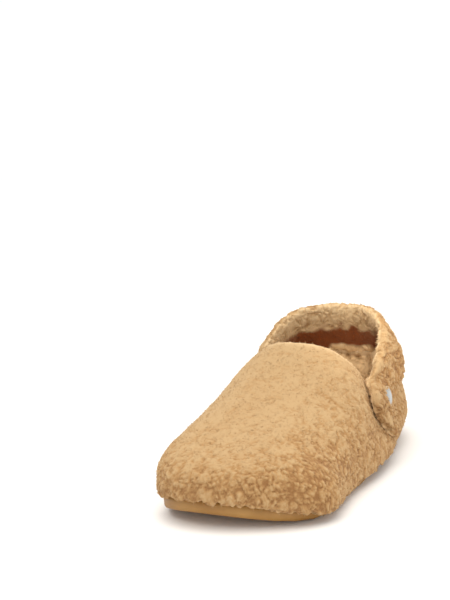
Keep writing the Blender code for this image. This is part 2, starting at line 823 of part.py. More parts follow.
def centre_on_ground(objects):
    """Moves every mesh so that the whole stands on the ground with its box centred."""
    corners = [vert.co for obj in objects for vert in obj.data.vertices]
    low = Vector(min(corner[k] for corner in corners) for k in range(3))
    high = Vector(max(corner[k] for corner in corners) for k in range(3))
    shift = Vector((-(low.x + high.x) / 2, -(low.y + high.y) / 2, -low.z))
    for obj in objects:
        for vert in obj.data.vertices:
            vert.co += shift


def main():
    """Clears the scene and builds the slipper."""
    for obj in list(bpy.data.objects):
        bpy.data.objects.remove(obj)
    upper = build_upper(make_material("upper_fleece", (0.64, 0.39, 0.17), 0.95))
    build_outsole(make_material("sole_rubber", (0.48, 0.29, 0.10), 0.55))
    build_footbed(make_material("footbed_fleece", (0.66, 0.42, 0.19), 0.95))
    strap = build_strap(make_material("strap_fleece", (0.64, 0.39, 0.17), 0.95))
    tan = make_material("rivet_plastic", (0.62, 0.43, 0.24), 0.45)
    white = make_material("disc_plastic", (0.80, 0.78, 0.74), 0.30)
    build_rivets(upper, strap, tan, white)
    centre_on_ground(list(bpy.data.objects))


main()
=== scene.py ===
"""Looks of the left-foot clog slipper: fleece upper and strap, fleecy footbed, rubber outsole, rivets.

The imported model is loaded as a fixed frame. Every soft piece is a copy of its own CAD solid, made fine
enough to carry curls, with a coat of fibre locks over it, and stays where that solid is. Two soft
swellings make the outer front and the outer quarter as wide as the real shoe's.
"""

import json
import logging
import math
from dataclasses import dataclass, field
from enum import Enum

import bmesh
import bpy
import numpy as np
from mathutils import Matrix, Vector, kdtree, noise

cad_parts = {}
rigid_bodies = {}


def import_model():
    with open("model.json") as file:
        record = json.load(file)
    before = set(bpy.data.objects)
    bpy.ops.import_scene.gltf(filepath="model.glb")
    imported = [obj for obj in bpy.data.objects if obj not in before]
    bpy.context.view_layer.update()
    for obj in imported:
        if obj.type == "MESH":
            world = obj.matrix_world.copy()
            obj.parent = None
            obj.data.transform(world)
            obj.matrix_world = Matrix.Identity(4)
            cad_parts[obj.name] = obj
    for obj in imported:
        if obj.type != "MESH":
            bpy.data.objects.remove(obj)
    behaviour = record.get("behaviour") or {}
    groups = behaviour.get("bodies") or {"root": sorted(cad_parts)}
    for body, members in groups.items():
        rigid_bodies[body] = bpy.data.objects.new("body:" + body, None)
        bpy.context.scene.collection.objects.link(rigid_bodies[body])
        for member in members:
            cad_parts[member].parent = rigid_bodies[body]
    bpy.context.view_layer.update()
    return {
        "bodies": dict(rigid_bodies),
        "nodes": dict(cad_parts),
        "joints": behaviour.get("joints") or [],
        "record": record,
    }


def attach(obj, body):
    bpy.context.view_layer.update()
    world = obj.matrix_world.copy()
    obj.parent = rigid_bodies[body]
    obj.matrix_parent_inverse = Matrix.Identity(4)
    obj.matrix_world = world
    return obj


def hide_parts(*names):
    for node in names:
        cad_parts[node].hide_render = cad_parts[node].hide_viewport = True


LOG = logging.getLogger("slipper")
MILLIMETRE = 0.001
WELD_MM = 0.002


def linear(hex_colour: str) -> tuple[float, float, float, float]:
    """Turns an sRGB hex colour into linear light.

    Args:
        hex_colour: six hex digits, such as "D7A56E".

    Returns:
        Red, green, blue and an alpha of 1.
    """
    channels = [int(hex_colour[i : i + 2], 16) / 255 for i in (0, 2, 4)]
    light = [c / 12.92 if c <= 0.04045 else ((c + 0.055) / 1.055) ** 2.4 for c in channels]
    return (*light, 1.0)


def node(
    tree: bpy.types.NodeTree,
    kind: str,
    settings: dict[str, object] | None = None,
    values: dict[str | int, object] | None = None,
    links: dict[str | int, bpy.types.NodeSocket] | None = None,
) -> bpy.types.Node:
    """Adds a shader node.

    Args:
        tree: the node tree it goes into.
        kind: the node's type name.
        settings: attributes of the node.
        values: constants for its input sockets.
        links: output sockets that feed its input sockets.

    Returns:
        The new node.
    """
    made = tree.nodes.new(kind)
    for name, value in (settings or {}).items():
        setattr(made, name, value)
    for name, value in (values or {}).items():
        made.inputs[name].default_value = value
    for name, socket in (links or {}).items():
        tree.links.new(socket, made.inputs[name])
    return made


class Passing(Enum):
    """How a ramp of colours passes from stop to stop."""

    SMOOTH = "EASE"
    STRAIGHT = "LINEAR"


def lay_stops(
    ramp: bpy.types.ColorRamp, stops: list[tuple[float, str]], passing: Passing = Passing.STRAIGHT
) -> None:
    """Lays the stops of a colour ramp.

    Args:
        ramp: a fresh ramp.
        stops: places from 0 to 1 with their hex colours.
        passing: how it passes from stop to stop.
    """
    ramp.interpolation = passing.value
    while len(ramp.elements) < len(stops):
        ramp.elements.new(0.5)
    for element, (place, colour) in zip(ramp.elements, stops):
        element.position = place
        element.color = linear(colour)


def started(
    name: str, constants: dict[str, object]
) -> tuple[bpy.types.Material, bpy.types.NodeTree, bpy.types.Node, bpy.types.NodeSocket]:
    """Starts a material whose patterns are laid out in the shoe's own metres.

    Args:
        name: the finish's name.
        constants: what is the same all over the surface, by shader socket.

    Returns:
        The material, its tree, its shader and the socket that gives a place on the object.
    """
    made = bpy.data.materials.new(name)
    made.use_nodes = True
    tree = made.node_tree
    shader = tree.nodes["Principled BSDF"]
    for socket, value in constants.items():
        shader.inputs[socket].default_value = value
    return made, tree, shader, node(tree, "ShaderNodeTexCoord").outputs["Object"]


@dataclass(frozen=True)
class Fleece:
    """Curly polyester fleece, knitted and teased: matte, with painted shade that darkens it deep between
    its curls.

    Args:
        name: the finish's name.
        root: colour at the foot of the pile, the darkest painted shade in the crevices.
        middle: colour half-way up, a lighter painted shade.
        tip: colour on the curls' crowns, where no shade is painted.
        painted_shade_brown: dark brown painted on the strap's inner face, where it lies in deep shade.
        pale_edge_and_painted_light: colour painted as light on fleece that lies in shade inside the
            shoe, and on a paler band along the throat edge.
        patch_mm: size of the wide patches that are a little lighter or darker.
        patch_shift: how far up or down the pile's colours a patch goes.
        fibre_mm: size of the specks. Real fibres are finer, and wouldn't show.
        fibre_shift: how far up or down the pile's colours a speck goes.
        bump_mm: height of the specks.
    """

    name: str
    root: str = "8C6237"
    middle: str = "AA8252"
    tip: str = "B8976B"
    painted_shade_brown: str = "7C3A05"
    pale_edge_and_painted_light: str = "FBDDAE"
    patch_mm: float = 26.0
    patch_shift: float = 0.12
    fibre_mm: float = 0.9
    fibre_shift: float = 0.10
    bump_mm: float = 0.4
    bump_strength: float = 0.55
    ior: float = 1.45
    roughness: float = 0.92
    sheen: float = 0.25
    sheen_roughness: float = 0.55
    sheen_tint: str = "F2D6AE"

    def material(self) -> bpy.types.Material:
        """Builds the material, whose colour follows the depth stored in the pile: painted shade, darker
        deeper in the crevices.

        Returns:
            A matte material with a soft sheen. It turns dark brown where painted shade is stored,
            and pales where the pale mask is: painted light inside the shoe, and a paler band along
                edges.
        """
        made, tree, shader, place = started(
            self.name,
            {
                "Roughness": self.roughness,
                "IOR": self.ior,
                "Sheen Weight": self.sheen,
                "Sheen Roughness": self.sheen_roughness,
                "Sheen Tint": linear(self.sheen_tint),
            },
        )
        stored = {
            layer: node(tree, "ShaderNodeAttribute", {"attribute_name": layer}).outputs["Fac"]
            for layer in ("pile", "lining", "pale")
        }
        total, grain = stored["pile"], None
        for size, detail, rough, shift in (
            (self.patch_mm, 2.0, 0.5, self.patch_shift),
            (self.fibre_mm, 3.0, 0.6, self.fibre_shift),
        ):
            grain = node(
                tree,
                "ShaderNodeTexNoise",
                values={"Scale": 1 / (size * MILLIMETRE), "Detail": detail, "Roughness": rough},
                links={"Vector": place},
            ).outputs["Fac"]
            spread = node(
                tree,
                "ShaderNodeMapRange",
                values={"From Min": 0.3, "From Max": 0.7, "To Min": -shift, "To Max": shift},
                links={"Value": grain},
            )
            total = node(
                tree,
                "ShaderNodeMath",
                {"operation": "ADD", "use_clamp": size == self.fibre_mm},
                links={0: total, 1: spread.outputs["Result"]},
            ).outputs[0]
        # Painted shade: the pile's depth, shifted by random lighter and darker patches and specks, picks
        # a colour from the dark root to the light tip.
        lighter_tone_and_shade_ramp = node(tree, "ShaderNodeValToRGB", links={"Fac": total})
        lay_stops(lighter_tone_and_shade_ramp.color_ramp, [(0.0, self.root), (0.5, self.middle), (1.0, self.tip)])
        # Painted light: the pale mask lifts the colour towards a light tan, most on the crowns.
        lifted = node(
            tree, "ShaderNodeMath", {"operation": "MULTIPLY"}, links={0: stored["pale"], 1: total}
        )
        colour = lighter_tone_and_shade_ramp.outputs["Color"]
        # Mixes in the painted light of the pale mask, then the dark brown painted shade on the strap's
        # inner face.
        for share, other in ((lifted.outputs[0], self.pale_edge_and_painted_light), (stored["lining"], self.painted_shade_brown)):
            colour = node(
                tree,
                "ShaderNodeMix",
                {"data_type": "RGBA"},
                {7: linear(other)},
                {0: share, 6: colour},
            ).outputs[2]
        tree.links.new(colour, shader.inputs["Base Color"])
        bump = node(
            tree,
            "ShaderNodeBump",
            values={"Strength": self.bump_strength, "Distance": self.bump_mm * MILLIMETRE},
            links={"Height": grain},
        )
        tree.links.new(bump.outputs["Normal"], shader.inputs["Normal"])
        return made


@dataclass(frozen=True)
class MouldedRubber:
    """Foamed rubber, moulded in a lightly grained tool: satin, golden, with soft clouds in its colour.

    Args:
        name: the finish's name.
        colour: the darker of its two colours.
        lighter_tone_and_shade_ramp: the lighter of them.
        cloud_mm: size of the clouds between the two.
        grain_mm: size of the moulded grain, drawn as coarse as it needs to show.
        grain_height_mm: height of that grain.
        roughness: mean roughness.
        duller: how much rougher the grain's crowns are.
        glossier: how much smoother its floors are.
    """

    name: str = "moulded_rubber"
    colour: str = "96692A"
    lighter_tone_and_shade_ramp: str = "A5793A"
    cloud_mm: float = 22.0
    grain_mm: float = 1.1
    grain_height_mm: float = 0.15
    bump_strength: float = 0.25
    ior: float = 1.5
    roughness: float = 0.48
    duller: float = 0.10
    glossier: float = 0.06

    def material(self) -> bpy.types.Material:
        """Builds the satin material with its fine moulded grain.

        Returns:
            The material.
        """
        made, tree, shader, place = started(self.name, {"IOR": self.ior})
        cloud, grain = (
            node(
                tree,
                "ShaderNodeTexNoise",
                values={"Scale": 1 / (size * MILLIMETRE), "Detail": 3.0},
                links={"Vector": place},
            ).outputs["Fac"]
            for size in (self.cloud_mm, self.grain_mm)
        )
        colour = node(tree, "ShaderNodeValToRGB", links={"Fac": cloud})
        lay_stops(colour.color_ramp, [(0.35, self.colour), (0.7, self.lighter_tone_and_shade_ramp)], Passing.SMOOTH)
        tree.links.new(colour.outputs["Color"], shader.inputs["Base Color"])
        rough = node(
            tree,
            "ShaderNodeMapRange",
            values={"To Min": self.roughness - self.glossier, "To Max": self.roughness + self.duller},
            links={"Value": grain},
        )
        tree.links.new(rough.outputs["Result"], shader.inputs["Roughness"])
        bump = node(
            tree,
            "ShaderNodeBump",
            values={"Strength": self.bump_strength, "Distance": self.grain_height_mm * MILLIMETRE},
            links={"Height": grain},
        )
        tree.links.new(bump.outputs["Normal"], shader.inputs["Normal"])
        return made


@dataclass(frozen=True)
class MouldedPlastic:
    """Injection-moulded plastic: an even colour, a soft gloss and a faint orange peel.

    Args:
        name: the finish's name.
        colour: its colour.
        roughness: mean roughness.
        coat: weight of the clear gloss on it.
        coat_roughness: roughness of that gloss.
        peel_mm: size of the orange peel.
        peel_spread: how far the roughness goes up and down with it.
    """

    name: str
    colour: str
    roughness: float
    coat: float = 0.0
    coat_roughness: float = 0.12
    ior: float = 1.5
    peel_mm: float = 1.5
    peel_spread: float = 0.05

    def material(self) -> bpy.types.Material:
        """Builds the even material with its faint unevenness of gloss.

        Returns:
            The material.
        """
        made, tree, shader, place = started(
            self.name,
            {
                "Base Color": linear(self.colour),
                "IOR": self.ior,
                "Coat Weight": self.coat,
                "Coat Roughness": self.coat_roughness,
            },
        )
        peel = node(
            tree,
            "ShaderNodeTexNoise",
            values={"Scale": 1 / (self.peel_mm * MILLIMETRE), "Detail": 1.0},
            links={"Vector": place},
        )
        rough = node(
            tree,
            "ShaderNodeMapRange",
            values={
                "To Min": self.roughness - self.peel_spread,
                "To Max": self.roughness + self.peel_spread,
            },
            links={"Value": peel.outputs["Fac"]},
        )
        tree.links.new(rough.outputs["Result"], shader.inputs["Roughness"])
        return made


def placed(name: str, data: bpy.types.ID) -> bpy.types.Object:
    """Puts a mesh, a light or a camera into the scene as an object."""
    made = bpy.data.objects.new(name, data)
    bpy.context.scene.collection.objects.link(made)
    return made


def copy_of(source: bpy.types.Object, name: str) -> bpy.types.Object:
    """Copies a CAD node's mesh into a new object in the row frame.

    Args:
        source: the CAD node.
        name: the new object's name.

    Returns:
        The new object, with its doubles welded and no material.
    """
    bm = bmesh.new()
    bm.from_mesh(source.data)
    bmesh.ops.remove_doubles(bm, verts=bm.verts, dist=WELD_MM * MILLIMETRE)
    mesh = bpy.data.meshes.new(name)
    bm.to_mesh(mesh)
    bm.free()
    return placed(name, mesh)


def apply_modifiers(obj: bpy.types.Object) -> None:
    """Applies an object's modifiers to its mesh.

    Args:
        obj: an object with modifiers, which keeps none of them.
    """
    graph = bpy.context.evaluated_depsgraph_get()
    mesh = bpy.data.meshes.new_from_object(obj.evaluated_get(graph))
    obj.modifiers.clear()
    obj.data = mesh


def relax(obj: bpy.types.Object, rounds: int) -> None:
    """Smooths an object's mesh.

    Args:
        obj: the object.
        rounds: how many times each vertex goes half-way to the middle of its neighbours.
    """
    smooth = obj.modifiers.new("relax", "SMOOTH")
    smooth.factor = 0.5
    smooth.iterations = rounds
    apply_modifiers(obj)


def finish_as(piece: bpy.types.Object, finish: bpy.types.Material) -> None:
    """Gives a piece its finish, and rides it on the shoe.

    Args:
        piece: the piece.
        finish: its material.
    """
    piece.data.materials.clear()
    piece.data.materials.append(finish)
    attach(piece, "root")


def rows_of(mesh: bpy.types.Mesh, what: str) -> np.ndarray:
    """Reads a vector from every vertex of a mesh.

    Args:
        mesh: the mesh.
        what: "co" for places or "normal" for normals.

    Returns:
        A row of three numbers for each vertex.
    """
    flat = np.empty(len(mesh.vertices) * 3)
    mesh.vertices.foreach_get(what, flat)
    return flat.reshape(-1, 3)


def values_of(mesh: bpy.types.Mesh, name: str) -> np.ndarray:
    """Reads numbers that were stored on a mesh.

    Args:
        mesh: the mesh.
        name: the name that they were stored under.

    Returns:
        A number for each vertex.
    """
    flat = np.empty(len(mesh.vertices), np.float32)
    mesh.attributes[name].data.foreach_get("value", flat)
    return flat


def store(mesh: bpy.types.Mesh, name: str, values: np.ndarray) -> None:
    """Keeps one number a vertex on a mesh, for its material."""
    layer = mesh.attributes.new(name, "FLOAT", "POINT")
    layer.data.foreach_set("value", values.astype(np.float32))


def eased(value: float, start: float, end: float) -> float:
    """Rises smoothly from 0 at the start to 1 at the end, whichever of them is larger."""
    part = min(max((value - start) / (end - start), 0.0), 1.0)
    return part * part * (3 - 2 * part)


WANDER_SHIFTS = (Vector((9.3, -1.5, -8.0)), Vector((0.4, 2.7, 5.1)), Vector((6.3, 11.1, 19.2)))
BREAK_SHIFT = Vector((7.3, 3.1, 5.7))
FINE_SHIFT = Vector((0.31, 0.17, 0.23))


def wander(point: Vector) -> Vector:
    """A smooth sideways pull that changes from place to place and is the same each run."""
    return Vector([noise.noise(point + shift) for shift in WANDER_SHIFTS])


@dataclass(frozen=True)
class Curls:
    """Sizes of a fleece's curls and of the short winding crevices between them.

    Args:
        across_mm: distance from crevice to crevice.
        height_mm: depth of a crevice where the fleece is teased into clumps.
        calm: share of that depth where the fleece is brushed smooth.
        winding: how much the crevices wind, as a share of their distance.
        bend_every: distance from bend to bend of a crevice, as such a share.
        break_every: distance from one crevice's end to the next crevice, as such a share.
        width: width of a crevice in brushed fleece, as a part of the noise's height.
        clumped_width: how much wider it is in clumped fleece.
        closed_below: value of the breaking noise under which there is no crevice.
        open_above: value over which it is fully open.
        clumped_opening: how far both of them fall in clumped fleece.
        fine: size of the small crevices, as a share of the large ones.
        coarse_depth: share of the depth that the large ones have.
        fine_depth: share of it that the small ones have.
        crown: share of a crevice's depth by which the curls stand over the solid.
        shade: how much painted shade darkens the crevices' floors in brushed fleece. In clumped fleece
            it is 1.
        lump_mm: size of the wide soft lumps under the curls.
        lump_height_mm: how far such a lump stands out.
    """

    across_mm: float = 3.2
    height_mm: float = 1.35
    calm: float = 0.34
    winding: float = 0.7
    bend_every: float = 1.5
    break_every: float = 1.9
    width: float = 0.19
    clumped_width: float = 0.09
    closed_below: float = -0.05
    open_above: float = 0.45
    clumped_opening: float = 0.58
    fine: float = 0.55
    coarse_depth: float = 0.75
    fine_depth: float = 0.45
    crown: float = 0.35
    shade: float = 0.30
    lump_mm: float = 19.0
    lump_height_mm: float = 0.8

    def crevice(self, point: Vector, size: float, clumped: float) -> float:
        """Finds how deep a point lies in a crevice of one size.

        Args:
            point: the place.
            size: distance from crevice to crevice.
            clumped: how strongly the fleece is clumped there.

        Returns:
            From 0 on a curl to 1 in a crevice's floor.
        """
        bend = wander(point / (size * self.bend_every)) * (size * self.winding)
        line = noise.noise((point + bend) / size)
        broken = noise.noise(point / (size * self.break_every) + BREAK_SHIFT)
        width = self.width + self.clumped_width * clumped
        fall = self.clumped_opening * clumped
        open_here = eased(broken, self.closed_below - fall, self.open_above - fall)
        return math.exp(-((line / width) ** 2)) * open_here

    def depth(self, point: Vector, clumped: float) -> float:
        """Finds the depth below the curls' crowns.

        Args:
            point: the place.
            clumped: how strongly the fleece is clumped there.

        Returns:
            From 0 to 1.
        """
        size = self.across_mm * MILLIMETRE
        coarse = self.crevice(point, size, clumped)
        fine = self.crevice(point + FINE_SHIFT, size * self.fine, clumped)
        return min(self.coarse_depth * coarse + self.fine_depth * fine, 1.0)

    def lump(self, point: Vector) -> float:
        """Height of the wide lumps at a point, from -1 to 1."""
        return noise.noise(point / (self.lump_mm * MILLIMETRE))


@dataclass(frozen=True)
class Bulge:
    """A soft swelling of a fleece's outside, in millimetres.

    Args:
        centre: its middle.
        reach: distances from the middle at which it has eased off, along each axis.
        move: how far the fleece stands out at its middle.
        falloff: how steeply it eases off.
    """

    centre: tuple[float, float, float]
    reach: tuple[float, float, float]
    move: tuple[float, float, float]
    falloff: float = 1.6

    def moves(self, points: np.ndarray) -> np.ndarray:
        """Finds how far the swelling moves points.

        Args:
            points: their places.

        Returns:
            Their moves, in metres.
        """
        away = (points / MILLIMETRE - np.array(self.centre)) / np.array(self.reach)
        weight = np.exp(-self.falloff * (away**2).sum(1))
        return weight[:, None] * np.array(self.move) * MILLIMETRE


OUTER_FRONT = Bulge((60, -90, 12), (36, 46, 34), (17, -6, 0))
QUARTER = Bulge((52, 30, 10), (26, 56, 26), (12, 0, 0))


class Form:
    """What a fleece piece does besides its curls. The plain form is evenly clumped all over.

    Every method takes the points' places and their normals as rows, and returns a row for each.
    """

    def outside(self, points: np.ndarray, normals: np.ndarray) -> np.ndarray:
        """Which of the points lie on a face that is seen and needs the finer mesh."""
        return np.ones(len(points), bool)

    def clumped(self, points: np.ndarray, normals: np.ndarray) -> np.ndarray:
        """How strongly the fleece is clumped at each point, from 0 brushed to 1 clumped."""
        return np.full(len(points), 0.5)

    def swell(self, points: np.ndarray, normals: np.ndarray) -> np.ndarray:
        """Further moves of the points, in metres."""
        return np.zeros_like(points)

    def lining(self, points: np.ndarray, normals: np.ndarray) -> np.ndarray:
        """Where dark brown painted shade takes the fleece's colour and the curls are smoothed, from 0 to
        1.
        """
        return np.zeros(len(points))

    def pale(self, points: np.ndarray, normals: np.ndarray) -> np.ndarray:
        """Where the fleece is paler: painted light where it lies in shade inside the shoe, and a paler
        band along edges, from 0 to 1.
        """
        return np.zeros(len(points))


@dataclass
class UpperForm(Form):
    """The upper: brushed on the vamp, clumped low round the toe, ragged where it hangs over the sole.

    Args:
        spine_x: sideways place of the last's middle line.
        spine_z: height of the middle line.
        toe_centre: place along the shoe where the toe's round begins.
        heel_centre: place where the heel's round begins.
        inner_limit: how far a face may look inwards and still get the finer mesh.
        edge_limit: how far the faces of the rolled edge may look inwards or outwards.
        edge_height: height over which that edge runs.
        edge_band: width of the smooth band along the throat and the collar.
        low: heights between which the clumps begin.
        front: places along the shoe between which they grow towards the toe.
        outer: sideways places between which they grow towards the outer side.
        heel: places along the shoe between which they grow towards the heel.
        brushed: how strongly the top is clumped.
        at_toe: what is added to that low down.
        at_outer: what is added to it on the outer side.
        at_heel: how strongly the heel is clumped.
        toe_spring: how far the sole lifts at the toe.
        spring_length: length over which it lifts.
        spring_power: how suddenly it does.
        lip: height of the outsole's side over its underside.
        hem: most that the fleece hangs down over the sole.
        outer_hem: the same at the outer front.
        hem_reach: height over the lip in which it gives way.
        hem_out: how far the hanging fleece stands off the sole's side.
        tuft: size of the hem's tufts.
        bulges: soft swellings of the outside.
    """

    spine_x: float = -0.004
    spine_z: float = 0.030
    toe_centre: float = -0.066
    heel_centre: float = 0.084
    inner_limit: float = -0.25
    edge_limit: float = 0.45
    edge_height: float = 0.050
    edge_band: float = 0.009
    low: tuple[float, float] = (0.060, 0.024)
    front: tuple[float, float] = (-0.030, -0.100)
    outer: tuple[float, float] = (0.012, 0.055)
    heel: tuple[float, float] = (0.030, 0.060)
    brushed: float = 0.10
    at_toe: float = 0.85
    at_outer: float = 0.38
    at_heel: float = 0.7
    toe_spring: float = 0.013
    spring_length: float = 0.066
    spring_power: float = 2.7
    lip: float = 0.0098
    hem: float = 0.0028
    outer_hem: float = 0.0048
    hem_reach: float = 0.008
    hem_out: float = 0.0016
    tuft: float = 0.0052
    bulges: tuple[Bulge, ...] = (
        OUTER_FRONT,
        QUARTER,
        Bulge((50, 72, 26), (26, 36, 26), (6, 2, 0)),
        Bulge((0, 112, 58), (60, 30, 14), (0, 0, 7)),
        Bulge((-60, -90, 24), (24, 44, 34), (2, 0, 0)),
    )

    def facing_out(self, points: np.ndarray, normals: np.ndarray) -> np.ndarray:
        """How far each point's face looks away from the last's middle line, from -1 to 1."""
        along = np.clip(points[:, 1], self.toe_centre, self.heel_centre)
        spine = np.stack(
            [np.full(len(points), self.spine_x), along, np.full(len(points), self.spine_z)], 1
        )
        away = points - spine
        return (normals * (away / np.linalg.norm(away, axis=1, keepdims=True))).sum(1)

    def outside(self, points: np.ndarray, normals: np.ndarray) -> np.ndarray:
        """The outer faces and the rolled edges."""
        return self.facing_out(points, normals) > self.inner_limit

    def edge_distance(self, points: np.ndarray, normals: np.ndarray) -> np.ndarray:
        """Distance of each point from the rolled edge of throat and collar."""
        across = np.abs(self.facing_out(points, normals)) < self.edge_limit
        edge = np.flatnonzero(across & (points[:, 2] > self.edge_height))
        tree = kdtree.KDTree(len(edge))
        for place, k in enumerate(edge):
            tree.insert(points[k], place)
        tree.balance()
        return np.array([tree.find(point)[2] for point in points])

    def clumped(self, points: np.ndarray, normals: np.ndarray) -> np.ndarray:
        """Clumped low down, at the front and at the heel, brushed at the top and along the edges."""
        band = self.edge_distance(points, normals)
        values = []
        for (x, y, z), near in zip(points, band):
            toe = eased(z, *self.low) * (0.50 + 0.50 * eased(y, *self.front))
            heel = eased(y, *self.heel)
            amount = self.brushed + self.at_toe * toe + self.at_outer * eased(x, *self.outer)
            amount = max(amount, self.at_heel * heel)
            smooth_band = self.edge_band * (1 - 0.8 * heel)
            values.append(min(amount, 1.0) * eased(near, 0.2 * smooth_band, smooth_band))
        return np.array(values)

    def pale(self, points: np.ndarray, normals: np.ndarray) -> np.ndarray:
        """A paler band along the brushed throat edge, and painted light on the inner wall of the heel,
        which lies in shade under the strap.
        """
        band, facing = self.edge_distance(points, normals), self.facing_out(points, normals)
        values = []
        for (x, y, z), near, face in zip(points, band, facing):
            edge = 0.30 * eased(near, self.edge_band, 0.3 * self.edge_band)
            # Painted light on the heel's inner wall, which lies in shade under the strap.
            heel = eased(face, 0.1, -0.3) * eased(y, 0.020, 0.050) * eased(z, 0.022, 0.036)
            values.append(max(edge, heel))
        return np.array(values)

    def swell(self, points: np.ndarray, normals: np.ndarray) -> np.ndarray:
        """Swells the outside, and drops its lower edge raggedly over the outsole's side."""
        facing = self.facing_out(points, normals)
        moves = sum(bulge.moves(points) for bulge in self.bulges)
        moves *= np.clip((facing + 0.5) / 0.6, 0.0, 1.0)[:, None]
        for k in np.flatnonzero((facing > -0.3) & (points[:, 2] < 0.035)):
            x, y, z = points[k]
            part = min(max(self.toe_centre - y, 0.0) / self.spring_length, 1.05)
            over = z - self.lip - self.toe_spring * part**self.spring_power
            if over > self.hem_reach:
                continue
            weight = 1 - max(over, 0.0) / self.hem_reach
            place = Vector((x, y, 0)) / self.tuft
            ragged = 0.55 + 0.9 * noise.noise(place) + 0.45 * noise.noise(place * 2.3)
            middle = max(min(y, self.heel_centre), self.toe_centre)
            out = Vector((x - self.spine_x, y - middle, 0)).normalized()
            outer = eased(out.x, 0.45, 0.85) * eased(y, 0.020, -0.040)
            hem = self.hem + (self.outer_hem - self.hem) * outer
            fall = hem * min(max(ragged + 0.5 * outer, 0.0), 1.15) * weight**1.5
            fall = min(fall, z - MILLIMETRE)
            moves[k] += (out.x * self.hem_out * weight, out.y * self.hem_out * weight, -fall)
        return moves


@dataclass
class StrapForm(Form):
    """The heel strap: clumped outside, smooth on its edges, with dark brown painted shade on its inner
    face.

    Args:
        rivet_y: place of the rivets along the shoe.
        rivet_z: height of the rivets.
        slope: the strap's rise towards the heel, in degrees.
        run: distance from the rivets to the back of the strap.
        sag: how far the strap's middle line falls short of a straight band at the back.
        half: half the strap's width.
        hang: how far its lower edge hangs at the back.
        stray: how far its free ends' edges stray from a clean cut.
        stray_every: distance from one such tuft to the next.
        cover: how far the fleece stands up round a rivet.
        cover_from: distance from a rivet's axis at which the fleece begins to rise.
        cover_to: distance at which it stands highest.
        clumps: how strongly the fleece is clumped on the outer face.
        painted_shade_top: places across the strap between which the fleece above gives way to the
            painted shade.
        painted_shade_foot: places between which the fleece below does.
        painted_shade_back: places along the shoe between which the painted shade begins.
        bulges: soft swellings that it shares with the upper under it, and its own.
    """

    rivet_y: float = 0.036
    rivet_z: float = 0.047
    slope: float = 37.0
    run: float = 0.063
    sag: float = 0.0072
    half: float = 0.0215
    hang: float = 0.0050
    stray: float = 0.0026
    stray_every: float = 0.0058
    cover: float = 0.0024
    cover_from: float = 0.018
    cover_to: float = 0.0105
    clumps: float = 0.95
    painted_shade_top: tuple[float, float] = (0.22, -0.10)
    painted_shade_foot: tuple[float, float] = (-0.78, -0.60)
    painted_shade_back: tuple[float, float] = (0.066, 0.078)
    bulges: tuple[Bulge, ...] = (QUARTER, Bulge((42, 68, 94), (22, 26, 20), (-1, 0, -5)))

    def across(self, points: np.ndarray) -> np.ndarray:
        """Place of each point across the strap's width, from -1 at its lower edge to 1."""
        turn = math.radians(self.slope)
        along, up = points[:, 1] - self.rivet_y, points[:, 2] - self.rivet_z
        part = np.clip(along / self.run, 0.0, 1.0)
        over = up * math.cos(turn) - along * math.sin(turn) + self.sag * part**4
        return over / self.half

    def facing_in(self, points: np.ndarray, normals: np.ndarray) -> np.ndarray:
        """How far each point's face looks into the shoe, from -1 to 1."""
        centre = np.stack(
            [np.zeros(len(points)), np.minimum(points[:, 1], 0.060), points[:, 2]], 1
        )
        inward = centre - points
        inward /= np.maximum(np.linalg.norm(inward, axis=1, keepdims=True), 1e-9)
        return (normals * inward).sum(1)

    def clumped(self, points: np.ndarray, normals: np.ndarray) -> np.ndarray:
        """Clumped outside, softer inside and smooth on the upper edge."""
        over, inward = self.across(points), self.facing_in(points, normals)
        edge = np.array([0.65 * eased(place, 0.70, 1.00) for place in over])
        inner = np.array([0.50 * eased(face, -0.2, 0.4) for face in inward])
        return self.clumps - np.maximum(edge, inner)

    def pale(self, points: np.ndarray, normals: np.ndarray) -> np.ndarray:
        """Painted light on the inner face, which lies in shade, growing towards its lower edge."""
        over, inward = self.across(points), self.facing_in(points, normals)
        inner = [
            eased(face, 0.1, 0.5) * (0.45 + 0.55 * eased(place, -0.2, -0.7))
            for face, place in zip(inward, over)
        ]
        return np.array(inner)

    def swell(self, points: np.ndarray, normals: np.ndarray) -> np.ndarray:
        """Raises the fleece round each rivet, hangs the lower edge, and roughens the free ends."""
        near = np.hypot(points[:, 1] - self.rivet_y, points[:, 2] - self.rivet_z)
        outer = self.facing_in(points, normals) < -0.3
        rise = np.array([eased(n, self.cover_from, self.cover_to) for n in near]) * outer * self.cover
        moves = normals * rise[:, None] + sum(bulge.moves(points) for bulge in self.bulges)
        turn = math.radians(self.slope)
        down = np.array((0.0, math.sin(turn), -math.cos(turn)))
        for k, place in enumerate(self.across(points)):
            amount = eased(place, -0.45, -1.0) * eased(points[k, 1], 0.058, 0.080)
            ragged = 0.8 + 0.5 * noise.noise(Vector(points[k]) / 0.006)
            moves[k] += down * self.hang * amount * ragged
            free = eased(points[k, 1], 0.062, 0.048) * eased(near[k], self.cover_to, 0.0160)
            stray = wander(Vector(points[k]) / self.stray_every) * self.stray * free
            moves[k] += (0.0, stray.y, stray.z)
        return moves

    def lining(self, points: np.ndarray, normals: np.ndarray) -> np.ndarray:
        """Dark brown painted shade along the middle of the inner face at the back, with ragged edges
        where the fleece laps over it.
        """
        over, inward = self.across(points), self.facing_in(points, normals)
        values = []
        for point, place, facing in zip(points, over, inward):
            ragged = 0.34 * noise.noise(Vector(point) / 0.0075)
            face = eased(facing, 0.25, 0.55)
            back = eased(point[1], *self.painted_shade_back)
            top = eased(place + ragged, *self.painted_shade_top)
            foot = eased(place - 0.4 * ragged, *self.painted_shade_foot)
            values.append(face * back * top * foot)
        return np.array(values)


# How far the curls flatten where the dark brown painted shade lies.
PAINTED_SHADE_SMOOTHS = 0.85


